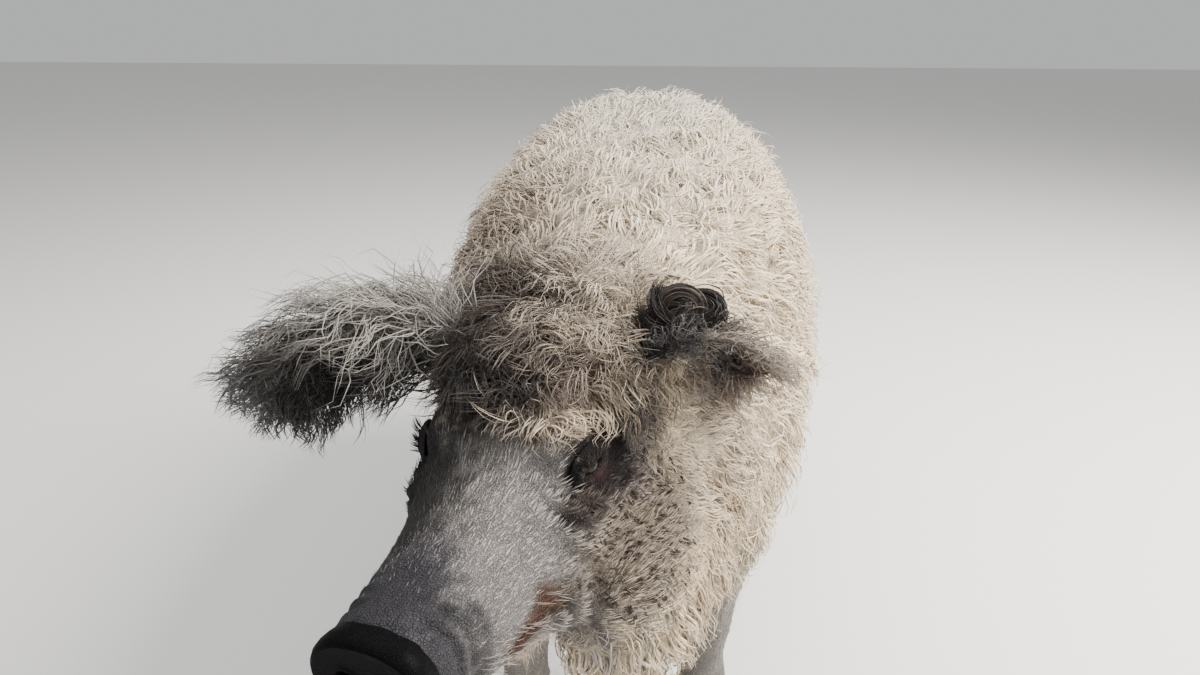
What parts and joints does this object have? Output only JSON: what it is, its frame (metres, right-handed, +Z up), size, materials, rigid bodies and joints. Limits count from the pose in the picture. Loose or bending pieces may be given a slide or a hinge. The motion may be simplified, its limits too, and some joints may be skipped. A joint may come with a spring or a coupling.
{
  "type": "mangalica pig, still life-size model",
  "caption": "Life-size curly-coated pig standing on its claws, long snout forward, one ear flung out to the side, fleece in close rounded curls.",
  "frame": {"origin": "on the floor, under the middle of the box round the whole animal", "axes": "+Z up, the trunk along Y with the head towards -Y, the animal's left side towards +X"},
  "size_m": [0.6622, 1.5746, 0.8445],
  "materials": {
    "fleece": "matt curly wool, cream",
    "short_coat": "short grey-white hair over blue-grey skin",
    "ear_hair": "long soft hair, grey-brown to black",
    "disc_skin": "bare black skin, slightly moist",
    "horn": "dark worn horn",
    "eye": "wet dark brown",
    "tuft": "dark hair"
  },
  "bodies": {
    "root": {"torso": "fleece", "neck": "fleece", "head": "short_coat", "jaw": "short_coat", "snout_disc": "disc_skin", "ear_left": "ear_hair", "ear_right": "ear_hair", "eye_left": "eye", "eye_right": "eye", "tail": "tuft", "leg_front_left": "short_coat", "leg_front_right": "short_coat", "leg_hind_left": "short_coat", "leg_hind_right": "short_coat", "claw_front_left_inner": "horn", "claw_front_left_outer": "horn", "claw_front_right_inner": "horn", "claw_front_right_outer": "horn", "claw_hind_left_inner": "horn", "claw_hind_left_outer": "horn", "claw_hind_right_inner": "horn", "claw_hind_right_outer": "horn", "dewclaw_front_left_inner": "horn", "dewclaw_front_left_outer": "horn", "dewclaw_front_right_inner": "horn", "dewclaw_front_right_outer": "horn", "dewclaw_hind_left_inner": "horn", "dewclaw_hind_left_outer": "horn", "dewclaw_hind_right_inner": "horn", "dewclaw_hind_right_outer": "horn"}
  },
  "joints": []
}
